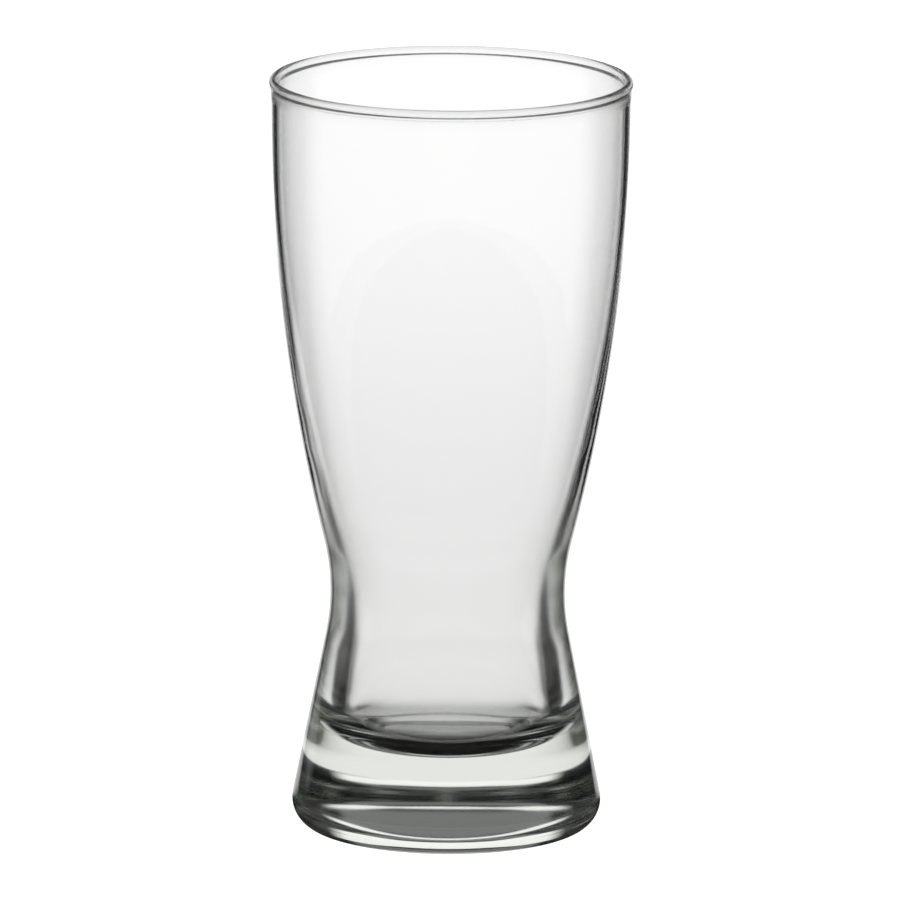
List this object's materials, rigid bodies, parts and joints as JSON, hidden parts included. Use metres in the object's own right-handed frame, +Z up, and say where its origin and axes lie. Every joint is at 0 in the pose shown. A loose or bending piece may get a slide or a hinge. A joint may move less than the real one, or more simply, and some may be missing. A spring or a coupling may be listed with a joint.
{
  "type": "pilsner glass",
  "caption": "Clear hourglass pilsner tumbler with a rolled rim bead, thin flared bowl, thick pinched waist and solid heavy base; holds a drink and stands on its bearing ring.",
  "frame": {"origin": "on the axis of the glass, at the level of the bearing ring that it stands on", "axes": "+Z up along the axis of revolution, towards the mouth; the glass is round, so X and Y are free, and -Y faces the picture's camera"},
  "size_m": [0.0708, 0.0708, 0.149],
  "materials": {
    "clear_glass": "clear soda-lime glass, fire-polished"
  },
  "bodies": {
    "root": {"foot": "clear_glass", "waist": "clear_glass", "bowl": "clear_glass", "rim_bead": "clear_glass"}
  },
  "joints": []
}
